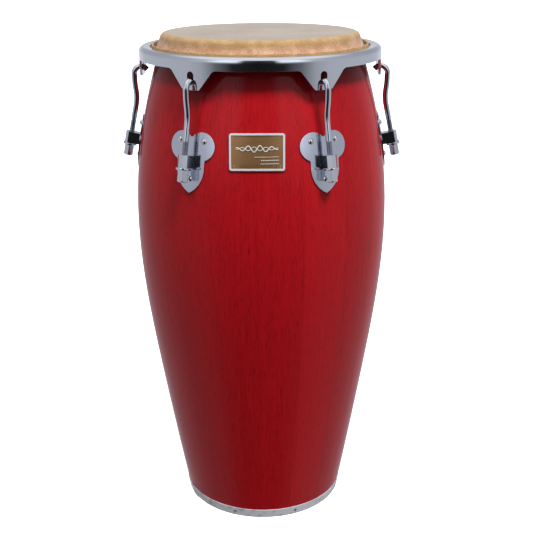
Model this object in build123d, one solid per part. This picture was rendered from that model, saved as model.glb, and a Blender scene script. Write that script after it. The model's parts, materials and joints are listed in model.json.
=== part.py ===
from build123d import *
import math
import os

# A stave-built barrel hand drum (conga) with a natural hide head and six tuning lugs.
#
# Millimetres, +Z up. The origin is on the drum's axis, in the plane that it stands on.
# The badge faces -Y. A section is drawn in the XZ plane, where x is the distance from the
# drum's axis, and a part of a lug is made on the +X side and then turned to its place.

# ---- Driving dimensions ---------------------------------------------------------------

# Shell: outside radii at five heights, foot to bearing edge
shell_height = 709.0
shell_wall = 12.0
stave_count = 18
foot_radius = 119.2
foot_flare = 0.19
cone_height = 200.0
cone_radius = 154.3
belly_height = 445.0
belly_radius = 181.7
shoulder_drop = 99.0
shoulder_radius = 163.2
bearing_edge_depth = 7.0
bearing_edge_round = 7.0
bearing_radius = 138.6
crown_taper = 0.27

# Foot band and its nails
band_height = 14.5
band_thickness = 0.8
band_lap_angle = 6.0
band_lap_turn = -60.0
nail_count = 8
nail_turn = 25.3
nail_head_radius = 2.6
nail_head_rise = 0.9
nail_shank_radius = 0.9

# Hide and the flesh hoop that it is lapped round
hide_thickness = 2.0
collar_bow = 0.7
hoop_wire_radius = 4.0
hoop_hide_gap = 0.05
hoop_stand_off = 15.9
hoop_drop = 28.2
lap_edge_gap = 1.6
lap_edge_thickness = 1.4
lap_edge_height = 6.0
lap_edge_lean = 1.6

# Rim: a rolled plate with six ears
lug_count = 6
first_lug_turn = 30.0
rim_wall = 3.6
rim_lip_cover = 0.5
rim_hide_gap = 0.35
rim_hoop_gap = 5.35
rim_crown = 1.6
rim_corner_round = 7.0
rim_skirt = 13.2
rim_lip_fall = 0.2
ear_root_half_width = 33.0
ear_root_round = 9.0
ear_tip_half_width = 12.5
ear_tip_round = 5.0
ear_drop = 25.5
ear_hole_width = 9.6
ear_hole_top_drop = 2.0
ear_web = 6.5

# Hook: a bent rod with a rolled thread on its lower end
rod_radius = 4.0
thread_major_radius = 3.9
hook_bend_radius = 10.0
hook_reach = 9.7
hook_turn = 135.0
hook_tail = 2.4
hook_seat_gap = 0.4
jog_top_drop = 12.4
jog_bottom_drop = 34.4
jog_bottom_round = 60.0
jog_top_round = 90.0
rod_lean = 2.7515
thread_length = 50.0

# Lug: side plate, bracket and nut
lug_drop = 149.0
plate_thickness = 2.0
lobe_radius = 18.5
lobe_spread = 15.5
lobe_rise = 17.2
waist_half_width = 21.0
plate_side_fall = 12.0
plate_belly_half_width = 15.0
plate_belly_fall = 31.4
plate_tip_fall = 44.0
plate_corner_round = 3.0
upper_bolt_spread = 18.1
upper_bolt_rise = 23.8
lower_bolt_fall = 25.4
rod_stand_off = 13.9
bracket_height = 16.0
bracket_half_width = 7.4
bracket_nose = 7.8
bracket_nose_cut = 4.4
bracket_bore_gap = 0.6
nut_gap = 0.15
nut_flange_radius = 9.8
nut_flange_height = 3.2
nut_flats = 13.0
nut_length = 19.0
nut_end_round = 2.0
nut_thread_gap = 0.08
nut_thread_cover = 3.0

# Bolts through the shell and the backing plates inside it
bolt_radius = 2.5
bolt_hole_gap = 0.2
bolt_head_radius = 4.0
bolt_head_height = 2.8
bolt_end = 1.6
backing_thickness = 1.6
backing_half_width = 27.0
backing_height = 70.0
backing_corner_round = 8.0
bolt_nut_flats = 8.0
bolt_nut_height = 4.0
bolt_nut_gap = 0.05
bolt_nut_hollow_gap = 0.1

# Badge
badge_width = 71.5
badge_height = 47.5
badge_drop = 135.6
badge_corner_round = 3.2
badge_frame_width = 2.6
badge_frame_thickness = 2.4
badge_face_thickness = 1.2
badge_pin_inset = 5.6
badge_pin_end_inset = 5.300
badge_pin_radius = 1.3
badge_pin_rise = 0.7

# ---- Heights and radii that follow from them ------------------------------------------

FRONT = -90.0
head_height = shell_height + hide_thickness
crown_height = shell_height - bearing_edge_depth
shoulder_height = shell_height - shoulder_drop
stave_angle = 360.0 / stave_count
lug_angle = 360.0 / lug_count

hoop_radius = bearing_radius + hoop_stand_off
hoop_height = head_height - hoop_drop
lap_inner_radius = hoop_wire_radius + hoop_hide_gap
lap_outer_radius = lap_inner_radius + hide_thickness

rim_outer_radius = hoop_radius + lap_outer_radius + rim_hoop_gap + rim_wall
rim_inner_radius = rim_outer_radius - rim_wall
rim_lip_radius = hoop_radius - rim_lip_cover
rim_under = hoop_height + lap_outer_radius + rim_hide_gap
rim_bottom = rim_under - rim_skirt
ear_bottom = rim_bottom - ear_drop
ear_hole_bottom = ear_bottom + ear_web
ear_hole_top = rim_bottom - ear_hole_top_drop

hook_leg_radius = rim_outer_radius + hook_reach
hook_bend_center = hook_leg_radius - hook_bend_radius
hook_throat = hook_bend_radius - rod_radius
seat_offset = min(hook_bend_center - rim_inner_radius, 0.95 * hook_throat)
seat_rise = math.sqrt(hook_throat**2 - seat_offset**2)
hook_bend_height = ear_hole_bottom + hook_seat_gap - seat_rise

lug_height = head_height - lug_drop
badge_center_height = head_height - badge_drop


# ---- Shell outline --------------------------------------------------------------------


def outline(shift=0.0):
    """The shell's outside, foot to crown, moved out from the drum's axis by shift."""
    stations = [
        (foot_radius, 0.0),
        (cone_radius, cone_height),
        (belly_radius, belly_height),
        (shoulder_radius, shoulder_height),
        (bearing_radius, crown_height),
    ]
    points = [(radius + shift, 0, height) for radius, height in stations]
    return Spline(points, tangents=[(foot_flare, 0, 1), (-crown_taper, 0, 1)])


shell_outline = outline()


def outline_at(height):
    """The parameter of the shell's outline at a height, found by halving."""
    low, high = 0.0, 1.0
    for _ in range(50):
        middle = (low + high) / 2
        if (shell_outline @ middle).Z < height:
            low = middle
        else:
            high = middle
    return low


def shell_radius(height):
    return (shell_outline @ outline_at(height)).X


def shell_normal(height):
    along = shell_outline % outline_at(height)
    return Vector(along.Z, 0, -along.X).normalized()


def on_shell(angle, height, out=0.0):
    """A place on the shell, or on the face of a layer that reaches out from it: z is the
    outward normal and x is level, along the surface."""
    normal = shell_normal(height)
    origin = Vector(shell_radius(height), 0, height) + normal * (out * normal.X)
    seat = Plane(origin=origin, x_dir=(0, 1, 0), z_dir=normal)
    return Rot(0, 0, angle) * seat.location


def skin(inner, outer, low, high):
    """The layer of revolution from inner to outer off the shell, between two heights."""
    near = outline(inner)
    far = outline(outer)
    ends = [Line(near @ 0, far @ 0), Line(near @ 1, far @ 1)]
    ring = revolve(make_face([near, far, *ends]), Axis.Z)
    reach = belly_radius + outer + shell_height
    slab = Pos(0, 0, (low + high) / 2) * Box(2 * reach, 2 * reach, high - low)
    return ring & slab


def section(*edges):
    """A face in the XZ plane from edges that close on themselves."""
    return make_face(list(edges))


def lug_turn(index):
    """Where a lug stands round the drum; lug 1 is the first to the badge's right."""
    return FRONT + first_lug_turn + lug_angle * index


# ---- Bolts of one lug -----------------------------------------------------------------


def turn_for(spread, height):
    return math.degrees(spread / shell_radius(height))


def bolt_places(turn, out):
    """The three bolts of the side plate at a turn, two above the bracket and one below,
    on the face of the layer that reaches out from the shell."""
    high = lug_height + upper_bolt_rise
    low = lug_height - lower_bolt_fall
    swing = turn_for(upper_bolt_spread, high)
    return [
        on_shell(turn - swing, high, out),
        on_shell(turn + swing, high, out),
        on_shell(turn, low, out),
    ]


bolt_grip = plate_thickness + shell_wall + backing_thickness
bolt_drill = Cylinder(bolt_radius + bolt_hole_gap, 6 * shell_wall)


def drill(part, turn):
    for place in bolt_places(turn, 0.0):
        part = part - place * bolt_drill
    return part


# ---- Staves ---------------------------------------------------------------------------


def stave_section():
    outside = outline()
    inside = outline(-shell_wall)
    rise = bearing_edge_depth
    run = crown_taper * rise
    outer_top = Vector(bearing_radius - run, 0, shell_height)
    inner_top = Vector(bearing_radius - shell_wall - run, 0, shell_height)
    face = section(
        outside,
        Line(outside @ 1, outer_top),
        Line(outer_top, inner_top),
        Line(inner_top, inside @ 1),
        inside,
        Line(inside @ 0, outside @ 0),
    )
    corner = min(face.vertices(), key=lambda v: (Vector(v) - outer_top).length)
    return fillet(corner, min(bearing_edge_round, 0.7 * shell_wall))


def make_staves():
    wedge = Rot(0, 0, -stave_angle / 2) * revolve(
        stave_section(), Axis.Z, revolution_arc=stave_angle
    )
    per_lug = stave_count // lug_count
    staves = {}
    for index in range(stave_count):
        turn = lug_turn(0) + stave_angle * index
        stave = Rot(0, 0, turn) * wedge
        if index % per_lug == 0:
            stave = drill(stave, turn)
        staves[f"stave_{index + 1:02d}"] = stave
    return staves


# ---- Foot band and nails --------------------------------------------------------------


def make_foot_band():
    hoop = skin(0.0, band_thickness, 0.0, band_height)
    lap = skin(band_thickness, 2 * band_thickness, 0.0, band_height)
    reach = 2 * belly_radius
    half = math.radians(band_lap_angle / 2)
    corners = [(0, 0), (reach, -reach * math.tan(half)), (reach, reach * math.tan(half))]
    wedge = extrude(make_face(Polyline(*corners, close=True)), band_height)
    lap = lap & (Rot(0, 0, FRONT + band_lap_turn) * wedge)
    band = hoop + lap
    for place in nail_places():
        band = band - place * Cylinder(nail_shank_radius, 4 * band_thickness)
    return band


def nail_places():
    step = 360.0 / nail_count
    height = band_height / 2
    turns = [FRONT + nail_turn + step * index for index in range(nail_count)]
    return [on_shell(turn, height, band_thickness) for turn in turns]


def make_nails():
    """Round-headed nails through the band; each runs into its own hole in the wood."""
    base = nail_head_radius
    bulge = (base**2 + nail_head_rise**2) / (2 * nail_head_rise)
    dome = Pos(0, 0, nail_head_rise - bulge) * Sphere(bulge)
    above = Pos(0, 0, bulge) * Box(4 * bulge, 4 * bulge, 2 * bulge)
    grip = band_thickness * shell_normal(band_height / 2).X
    shank = Pos(0, 0, -grip / 2) * Cylinder(nail_shank_radius, grip)
    nail = (dome & above) + shank
    return Compound(children=[place * nail for place in nail_places()])


# ---- Head: hide and flesh hoop --------------------------------------------------------


hoop_plane = Plane(origin=(hoop_radius, 0, hoop_height), x_dir=(1, 0, 0), z_dir=(0, -1, 0))


def collar(top, bottom):
    """The hide's free run from the bearing edge to the flesh hoop, hollowed a little."""
    middle = (top + bottom) / 2 + Vector(-collar_bow, 0, -collar_bow)
    return ThreePointArc(top, middle, bottom)


def make_drumhead():
    """The hide in one piece: over the bearing edge, down its collar, under the flesh hoop
    and back over it, with the trimmed edge turned up inside the rim's lip."""
    run = crown_taper * bearing_edge_depth
    side = hide_thickness * math.hypot(1, crown_taper)
    over_run = side - crown_taper * hide_thickness
    under_corner = Vector(bearing_radius - run, 0, shell_height)
    over_corner = Vector(bearing_radius - run + over_run, 0, head_height)
    leave_in = Vector(bearing_radius, 0, crown_height)
    leave_out = Vector(bearing_radius + side, 0, crown_height)
    join_in = Vector(hoop_radius - lap_outer_radius, 0, hoop_height)
    join_out = Vector(hoop_radius - lap_inner_radius, 0, hoop_height)

    edge_outer = rim_lip_radius - lap_edge_gap
    edge_inner = edge_outer - lap_edge_thickness
    edge_top = rim_under + lap_edge_height
    turned_edge = Polyline(
        (hoop_radius, 0, hoop_height + lap_inner_radius),
        (edge_inner, 0, hoop_height + lap_inner_radius),
        (edge_inner - lap_edge_lean, 0, edge_top),
        (edge_outer - lap_edge_lean, 0, edge_top),
        (edge_outer, 0, hoop_height + lap_outer_radius),
        (hoop_radius, 0, hoop_height + lap_outer_radius),
    )
    face = section(
        Line((0, 0, head_height), over_corner),
        Line(over_corner, leave_out),
        collar(leave_out, join_out),
        hoop_plane * CenterArc((0, 0), lap_inner_radius, 180, 270),
        *turned_edge.edges(),
        hoop_plane * CenterArc((0, 0), lap_outer_radius, 180, 270),
        collar(leave_in, join_in),
        Line(leave_in, under_corner),
        Line(under_corner, (0, 0, shell_height)),
        Line((0, 0, shell_height), (0, 0, head_height)),
    )
    edge_round = min(bearing_edge_round, 0.7 * shell_wall)
    over = min(face.vertices(), key=lambda v: (Vector(v) - over_corner).length)
    face = fillet(over, edge_round + hide_thickness)
    under = min(face.vertices(), key=lambda v: (Vector(v) - under_corner).length)
    face = fillet(under, edge_round)
    return revolve(face, Axis.Z)


def make_flesh_hoop():
    return revolve(hoop_plane * Circle(hoop_wire_radius), Axis.Z)


# ---- Rim ------------------------------------------------------------------------------


def rim_section():
    """The band's section, with its wall carried down as far as the ears reach."""
    lip_top = rim_under + rim_wall - rim_lip_fall
    top_corner = Vector(rim_outer_radius, 0, lip_top + rim_crown)
    under_corner = Vector(rim_inner_radius, 0, rim_under + rim_crown)
    lip = Vector(rim_lip_radius, 0, lip_top)
    lip_under = Vector(rim_lip_radius, 0, rim_under)
    face = make_face(
        Polyline(
            lip,
            top_corner,
            (rim_outer_radius, 0, ear_bottom),
            (rim_inner_radius, 0, ear_bottom),
            under_corner,
            lip_under,
            close=True,
        )
    )

    def at(point):
        return min(face.vertices(), key=lambda v: (Vector(v) - point).length)

    face = fillet(at(top_corner), rim_corner_round)
    face = fillet(at(under_corner), max(rim_corner_round - rim_wall, 1.0))
    face = fillet(at(lip), 0.45 * rim_wall)
    return fillet(at(lip_under), 0.45 * rim_wall)


def gap_outline():
    """The opening beside an ear, seen along the drum's radius: y is the height, x runs
    round the drum. It reaches past the middle of the gap, into the next ear's opening."""
    reach = rim_inner_radius * math.sin(math.radians(0.55 * lug_angle))
    below = ear_bottom - ear_web
    slope = (ear_root_half_width - ear_tip_half_width) / ear_drop
    points = [
        (ear_tip_half_width - slope * ear_web, below),
        (ear_root_half_width, rim_bottom),
        (reach, rim_bottom),
        (reach, below),
    ]
    face = make_face(Polyline(*points, close=True))
    root = face.vertices().sort_by(lambda v: math.dist((v.X, v.Y), points[1]))[0]
    return fillet(root, ear_root_round)


def tip_outline():
    """What comes off a corner of the ear's tip to round it."""
    side = math.atan2(ear_drop, ear_root_half_width - ear_tip_half_width)
    corner = Vector(ear_tip_half_width, ear_bottom)
    along = ear_tip_round * math.tan(side / 2)
    center = corner + Vector(-along, ear_tip_round)
    near = corner + Vector(-along, 0)
    far = corner + Vector(math.cos(side), math.sin(side)) * along
    middle = center + (corner - center).normalized() * ear_tip_round
    outer = corner + (corner - center).normalized() * ear_tip_round
    return make_face(
        [ThreePointArc(near, middle, far), Line(far, outer), Line(outer, near)]
    )


def make_rim():
    """The rolled band and its ears, in one piece: a tall band that is cut away between
    the ears, with each ear's hole through it."""
    facing = Plane(origin=(0, 0, 0), x_dir=(0, 1, 0), z_dir=(1, 0, 0))
    middle = (ear_hole_bottom + ear_hole_top) / 2
    height = max(ear_hole_top - ear_hole_bottom, 1.2 * ear_hole_width)
    hole = Pos(0, middle) * SlotOverall(height, ear_hole_width, rotation=90)
    right = [gap_outline(), tip_outline()]
    left = [mirror(face, Plane.YZ) for face in right]
    rim = revolve(rim_section(), Axis.Z)
    for index in range(lug_count):
        for face in [*right, *left, hole]:
            cutter = extrude(facing * face, 2 * rim_outer_radius, dir=(1, 0, 0))
            rim = rim - Rot(0, 0, lug_turn(index)) * cutter
    return rim


# ---- Hooks ----------------------------------------------------------------------------

lug_normal = shell_normal(lug_height)
tilt = math.atan2(lug_normal.Z, lug_normal.X) + math.radians(rod_lean)
rod_up = Vector(-math.sin(tilt), 0, math.cos(tilt))
plate_face_radius = shell_radius(lug_height) + plate_thickness
rod_at_lug = Vector(plate_face_radius + rod_stand_off, 0, lug_height)
bracket_bottom = rod_at_lug - rod_up * (bracket_height / 2)
nut_top = bracket_bottom - rod_up * nut_gap
rod_end = nut_top - rod_up * (nut_length - nut_thread_cover)
thread_end = rod_end + rod_up * thread_length


def rod_axis_at(height):
    """The point of the straight part's axis at a height."""
    return rod_at_lug + rod_up * ((height - lug_height) / rod_up.Z)


def hook_path():
    """The rod's centre line above its thread, up the jog and over into the ear's hole."""
    low = rod_axis_at(hook_bend_height - jog_bottom_drop)
    high = Vector(hook_leg_radius, 0, hook_bend_height - jog_top_drop)
    start = Vector(hook_leg_radius, 0, hook_bend_height)
    runs = [(low - thread_end).length, (high - low).length, (start - high).length]
    turns = [rod_up.get_angle(high - low), (high - low).get_angle(start - high)]
    radii = []
    for named, turn, before, after in zip(
        [jog_bottom_round, jog_top_round], turns, runs[:2], runs[1:]
    ):
        most = 0.45 * min(before, after) / math.tan(math.radians(turn) / 2)
        radii.append(min(named, most))
    stem = FilletPolyline(thread_end, low, high, start, radius=radii)
    bend = math.radians(hook_turn)
    middle = Vector(
        hook_bend_center + hook_bend_radius * math.cos(bend / 2),
        0,
        hook_bend_height + hook_bend_radius * math.sin(bend / 2),
    )
    finish = Vector(
        hook_bend_center + hook_bend_radius * math.cos(bend),
        0,
        hook_bend_height + hook_bend_radius * math.sin(bend),
    )
    heading = Vector(-math.sin(bend), 0, math.cos(bend))
    arc = ThreePointArc(start, middle, finish)
    tail = Line(finish, finish + heading * hook_tail)
    return Wire([*stem.edges(), *arc.edges(), *tail.edges()])


def make_hook():
    path = hook_path()
    start = Plane(origin=thread_end, x_dir=(0, 1, 0), z_dir=rod_up)
    shank = sweep(start * Circle(rod_radius), path=path)
    foot = Plane(origin=rod_end, x_dir=(0, 1, 0), z_dir=rod_up)
    thread = extrude(foot * Circle(thread_major_radius), thread_length)
    thread = chamfer(thread.edges().group_by(Axis.Z)[0], 0.8)
    return shank + thread


# ---- Nuts -----------------------------------------------------------------------------


def make_nut():
    """A long hexagon nut with a round flange, seated under the bracket."""
    seat = Plane(origin=nut_top, x_dir=(0, 1, 0), z_dir=-rod_up)
    flange = extrude(seat * Circle(nut_flange_radius), nut_flange_height)
    flange = fillet(flange.edges(), 0.25 * nut_flange_height)
    corner = nut_flats / math.sqrt(3)
    body = extrude(seat * RegularPolygon(corner, 6), nut_length)
    turned = extrude(seat * Circle(corner + 0.01), nut_length)
    far = turned.faces().sort_by(Axis(nut_top, -rod_up))[-1]
    turned = fillet(far.edges(), nut_end_round)
    bore = extrude(seat * Circle(thread_major_radius + nut_thread_gap), nut_length)
    return flange + (body & turned) - bore


# ---- Brackets and side plates ---------------------------------------------------------


def make_bracket():
    """A forged block on the side plate, with a faceted nose round the rod's bore."""
    back = rod_stand_off + 4 * plate_thickness
    points = [
        (-back, -bracket_half_width),
        (bracket_nose - bracket_nose_cut, -bracket_half_width),
        (bracket_nose, bracket_nose_cut - bracket_half_width),
        (bracket_nose, bracket_half_width - bracket_nose_cut),
        (bracket_nose - bracket_nose_cut, bracket_half_width),
        (-back, bracket_half_width),
    ]
    across = Vector(math.cos(tilt), 0, math.sin(tilt))
    base = Plane(origin=bracket_bottom, x_dir=across, z_dir=rod_up)
    block = extrude(base * make_face(Polyline(*points, close=True)), bracket_height)
    bore = extrude(base * Circle(rod_radius + bracket_bore_gap), bracket_height)
    block = block - bore
    reach = 2 * plate_tip_fall
    return block - skin(
        -shell_wall, plate_thickness, lug_height - reach, lug_height + reach
    )


def plate_outline():
    """Two lobes above a waist, and a body that draws in to a point below."""
    lobes = Pos(-lobe_spread, lobe_rise) * Circle(lobe_radius)
    lobes = lobes + Pos(lobe_spread, lobe_rise) * Circle(lobe_radius)
    right = [
        Line((waist_half_width, lobe_rise), (waist_half_width, -plate_side_fall)),
        ThreePointArc(
            (waist_half_width, -plate_side_fall),
            (plate_belly_half_width, -plate_belly_fall),
            (0, -plate_tip_fall),
        ),
    ]
    left = [mirror(edge, Plane.YZ) for edge in right]
    top = Line((-waist_half_width, lobe_rise), (waist_half_width, lobe_rise))
    body = make_face([*right, *left, top])
    plate = lobes + body
    inner = [v for v in plate.vertices() if v.Y > -0.5 * plate_side_fall]
    return fillet(inner, plate_corner_round)


def lug_facing():
    """The plane of a lug's side plate, y up the shell and z out of it."""
    return on_shell(0.0, lug_height)


def make_side_plate():
    reach = 1.5 * plate_tip_fall
    block = lug_facing() * Pos(0, 0, -shell_wall) * extrude(
        plate_outline(), 3 * shell_wall
    )
    layer = skin(0.0, plate_thickness, lug_height - reach, lug_height + reach)
    return drill(block & layer, 0.0)


def make_backing_plate():
    outline_face = RectangleRounded(
        2 * backing_half_width, backing_height, backing_corner_round
    )
    block = lug_facing() * Pos(0, 0, -3 * shell_wall) * extrude(
        outline_face, 4 * shell_wall
    )
    reach = 1.5 * plate_tip_fall
    low = -shell_wall - backing_thickness
    layer = skin(low, -shell_wall, lug_height - reach, lug_height + reach)
    return drill(block & layer, 0.0)


# ---- Bolts ----------------------------------------------------------------------------


def make_bolt():
    """A round-headed bolt whose head seats at z = 0 and whose shank runs down -z."""
    length = bolt_grip + bolt_nut_height + bolt_end
    head = Cylinder(bolt_head_radius, bolt_head_height)
    head = Pos(0, 0, bolt_head_height / 2) * head
    head = fillet(head.edges().sort_by(Axis.Z)[-1], 0.8 * bolt_head_height)
    return head + Pos(0, 0, -length / 2) * Cylinder(bolt_radius, length)


def make_bolt_nut():
    """A hexagon nut that clears the hollow of the backing plate it is drawn up to."""
    face = RegularPolygon(bolt_nut_flats / math.sqrt(3), 6)
    nut = extrude(face - Circle(bolt_radius + bolt_nut_gap), bolt_nut_height)
    return Pos(0, 0, -bolt_nut_hollow_gap - bolt_nut_height) * nut


def on_all_lugs(shape, out):
    """Copies of a bolt or nut at every bolt of every lug."""
    copies = []
    for index in range(lug_count):
        copies += [place * shape for place in bolt_places(lug_turn(index), out)]
    return Compound(children=copies)


# ---- Badge ----------------------------------------------------------------------------


def badge_layer(face, out):
    block = on_shell(FRONT, badge_center_height) * Pos(0, 0, -shell_wall) * extrude(
        face, 3 * shell_wall
    )
    low = badge_center_height - badge_height
    return block & skin(0.0, out, low, badge_center_height + badge_height)


def badge_outline(inset):
    return RectangleRounded(
        badge_width - 2 * inset,
        badge_height - 2 * inset,
        max(badge_corner_round - inset, 0.6),
    )


def badge_pin_places():
    """The four pins, near the badge's corners."""
    across = badge_width / 2 - badge_pin_inset
    rise = badge_height / 2 - badge_pin_end_inset
    rise = rise * shell_normal(badge_center_height).X
    places = []
    for side in (-1, 1):
        for end in (-1, 1):
            height = badge_center_height + end * rise
            turn = FRONT + side * turn_for(across, height)
            places.append(on_shell(turn, height, badge_face_thickness))
    return places


def make_badge():
    """A raised frame, the sheet inside it and the round heads of the four pins."""
    frame = badge_layer(
        badge_outline(0.0) - badge_outline(badge_frame_width), badge_frame_thickness
    )
    face = badge_layer(badge_outline(badge_frame_width), badge_face_thickness)
    bulge = (badge_pin_radius**2 + badge_pin_rise**2) / (2 * badge_pin_rise)
    head = Pos(0, 0, badge_pin_rise - bulge) * Sphere(bulge)
    low = badge_center_height - badge_height
    high = badge_center_height + badge_height
    under = skin(-shell_wall, badge_face_thickness, low, high)
    pins = [place * head - under for place in badge_pin_places()]
    return {
        "badge_frame": frame,
        "badge_face": face,
        "badge_pins": Compound(children=pins),
    }


# ---- Assembly -------------------------------------------------------------------------


def make_lugs():
    at_x = {
        "side_plate": make_side_plate(),
        "bracket": make_bracket(),
        "backing_plate": make_backing_plate(),
        "hook": make_hook(),
        "tuning_nut": make_nut(),
    }
    lugs = {}
    for name, shape in at_x.items():
        for index in range(lug_count):
            lugs[f"{name}_{index + 1}"] = Rot(0, 0, lug_turn(index)) * shape
    return lugs


def make_parts():
    parts = make_staves()
    parts["foot_band"] = make_foot_band()
    parts["foot_band_nails"] = make_nails()
    parts["drumhead"] = make_drumhead()
    parts["flesh_hoop"] = make_flesh_hoop()
    parts["rim"] = make_rim()
    parts.update(make_lugs())
    parts["side_plate_bolts"] = on_all_lugs(make_bolt(), plate_thickness)
    parts["side_plate_bolt_nuts"] = on_all_lugs(
        make_bolt_nut(), -shell_wall - backing_thickness
    )
    parts.update(make_badge())
    return parts


os.makedirs("parts", exist_ok=True)
for node, shape in make_parts().items():
    export_step(shape, f"parts/{node}.step")

for name, point in {"rod at lug": rod_at_lug, "nut top": nut_top, "rod up": rod_up}.items():
    print(name, round(point.X, 4), round(point.Y, 4), round(point.Z, 4))
print("rim outside radius", round(rim_outer_radius, 3), "bottom", round(rim_bottom, 3))
print("hook leg radius", round(hook_leg_radius, 3), "bend", round(hook_bend_height, 3))
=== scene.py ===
import json
import math

import bmesh
import bpy
import numpy as np
from mathutils import Matrix, Vector, noise


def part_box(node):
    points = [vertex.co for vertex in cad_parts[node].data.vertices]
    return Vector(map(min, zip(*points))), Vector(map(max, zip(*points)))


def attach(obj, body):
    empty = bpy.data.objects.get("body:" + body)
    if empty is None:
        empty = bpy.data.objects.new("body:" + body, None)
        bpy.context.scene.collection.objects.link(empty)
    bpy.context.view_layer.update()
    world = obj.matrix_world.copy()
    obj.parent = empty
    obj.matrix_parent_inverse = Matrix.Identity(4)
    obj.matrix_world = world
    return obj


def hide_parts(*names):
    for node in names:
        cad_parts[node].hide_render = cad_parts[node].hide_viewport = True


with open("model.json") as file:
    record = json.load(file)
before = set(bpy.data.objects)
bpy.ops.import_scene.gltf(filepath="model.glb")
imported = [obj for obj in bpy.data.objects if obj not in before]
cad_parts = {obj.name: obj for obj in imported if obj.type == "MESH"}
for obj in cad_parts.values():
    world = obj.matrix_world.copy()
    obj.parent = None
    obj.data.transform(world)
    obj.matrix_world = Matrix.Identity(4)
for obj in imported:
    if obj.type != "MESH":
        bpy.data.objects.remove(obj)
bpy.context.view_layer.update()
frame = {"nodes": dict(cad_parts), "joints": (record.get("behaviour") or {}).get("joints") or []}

# ---- Staves ----------------------------------------------------------------------------
# Eighteen oak staves are sawn to the barrel's curve, glued edge to edge and turned smooth
# outside. They are stained red and take many coats of clear gloss lacquer, so the grain
# shows through a deep shine. The inside is left as sealed bare oak.

stave_count = 18
stave_angle = math.tau / stave_count
stave_wall = 0.012
stave_bottom, stave_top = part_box("stave_01")[0].z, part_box("stave_01")[1].z
bearing_edge_depth = 0.007
bearing_edge_bevel = 0.0054
stave_foot_bevel = 0.0008
lug_count = 6
lug_angle = math.tau / lug_count
front = -math.pi / 2
# width round the drum and length up the stave of one pore, growth band and cloud of colour
grain_marks = ((0.0012, 0.015), (0.0035, 0.07), (0.04, 0.10))
grain_radius = 0.165
grain_step = 7.3


def lug_turn(index):
    """Where a lug stands round the drum. The badge stands at front, half way between two."""
    return front + lug_angle * (index + 0.5)


def outward(vertex):
    return Vector((vertex.co.x, vertex.co.y, 0)).normalized()


cad_stave = frame["nodes"]["stave_01"].data
crown = stave_top - bearing_edge_depth
outside = [v for v in cad_stave.vertices if v.normal.dot(outward(v)) > 0.9 and v.co.z < crown]
shell_line = np.polynomial.Polynomial.fit(
    [v.co.z for v in outside], [math.hypot(v.co.x, v.co.y) for v in outside], 8
)
shell_slope = shell_line.deriv()


def on_shell(turn, height, out=0.0):
    """The point at a height on the turned outside of the shell, moved out along its normal."""
    slope = shell_slope(height)
    scale = out / math.hypot(1, slope)
    radius = shell_line(height) + scale
    return Vector((radius * math.cos(turn), radius * math.sin(turn), height - slope * scale))


def lug_point(turn, center, across, up, out):
    """A point of a plate that follows the shell: across and up are measured along it."""
    height = center + up / math.hypot(1, shell_slope(center + up / 2))
    return on_shell(turn + across / shell_line(height), height, out)


def linear(code):
    """The linear colour of an sRGB hex value."""
    parts = [int(code[i : i + 2], 16) / 255 for i in (1, 3, 5)]
    return [p / 12.92 if p <= 0.04045 else ((p + 0.055) / 1.055) ** 2.4 for p in parts] + [1.0]


def add(material, kind, inputs=None, **settings):
    """A new node of a material, with its settings and with values or links on its inputs."""
    made = material.node_tree.nodes.new("ShaderNode" + kind)
    for name, value in settings.items():
        setattr(made, name, value)
    for socket, value in (inputs or {}).items():
        if isinstance(value, bpy.types.NodeSocket):
            material.node_tree.links.new(value, made.inputs[socket])
        else:
            made.inputs[socket].default_value = value
    return made


def finish(name, inputs):
    """A material with one Principled shader, and the values on that shader's own sockets."""
    material = bpy.data.materials.new(name)
    material.use_nodes = True
    material.node_tree.nodes.clear()
    shader = add(material, "BsdfPrincipled", inputs)
    add(material, "OutputMaterial", {"Surface": shader.outputs["BSDF"]})
    return material, shader


def feed(material, shader, socket, source):
    material.node_tree.links.new(source, shader.inputs[socket])


def oak_grain(material):
    """Grain that runs up each stave: (pores, growth bands, broad mottling, tone of the
    stave, closeness to a glue line), all from where the point is round and up the drum."""
    place = add(material, "TexCoord").outputs["Object"]
    xyz = add(material, "SeparateXYZ", {0: place})
    turn = add(material, "Math", {0: xyz.outputs["Y"], 1: xyz.outputs["X"]}, operation="ARCTAN2")
    first_edge = stave_angle / 2 - lug_turn(0)
    shifted = add(material, "Math", {0: turn.outputs[0], 1: first_edge}, operation="ADD")
    stave = add(material, "Math", {0: shifted.outputs[0], 1: stave_angle}, operation="DIVIDE")
    index = add(material, "Math", {0: stave.outputs[0]}, operation="FLOOR")
    tone = add(material, "TexWhiteNoise", {"W": index.outputs[0]}, noise_dimensions="1D")
    side = add(material, "Math", {0: stave.outputs[0]}, operation="FRACT")
    middle = add(material, "Math", {0: side.outputs[0], 1: 0.5}, operation="SUBTRACT")
    edge = add(material, "Math", {0: middle.outputs[0]}, operation="ABSOLUTE")
    patterns = []
    for width, length in grain_marks:
        across = add(
            material, "Math", {0: turn.outputs[0], 1: grain_radius / width}, operation="MULTIPLY"
        )
        along = add(
            material, "Math", {0: xyz.outputs["Z"], 1: 1 / length}, operation="MULTIPLY"
        )
        apart = add(
            material, "Math", {0: index.outputs[0], 1: grain_step}, operation="MULTIPLY"
        )
        where = add(
            material,
            "CombineXYZ",
            {0: across.outputs[0], 1: apart.outputs[0], 2: along.outputs[0]},
        )
        pattern = add(
            material,
            "TexNoise",
            {"Vector": where.outputs[0], "Scale": 1.0, "Detail": 3, "Roughness": 0.6},
        )
        patterns.append(pattern.outputs["Fac"])
    return [*patterns, tone.outputs["Value"], edge.outputs[0]]


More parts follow.
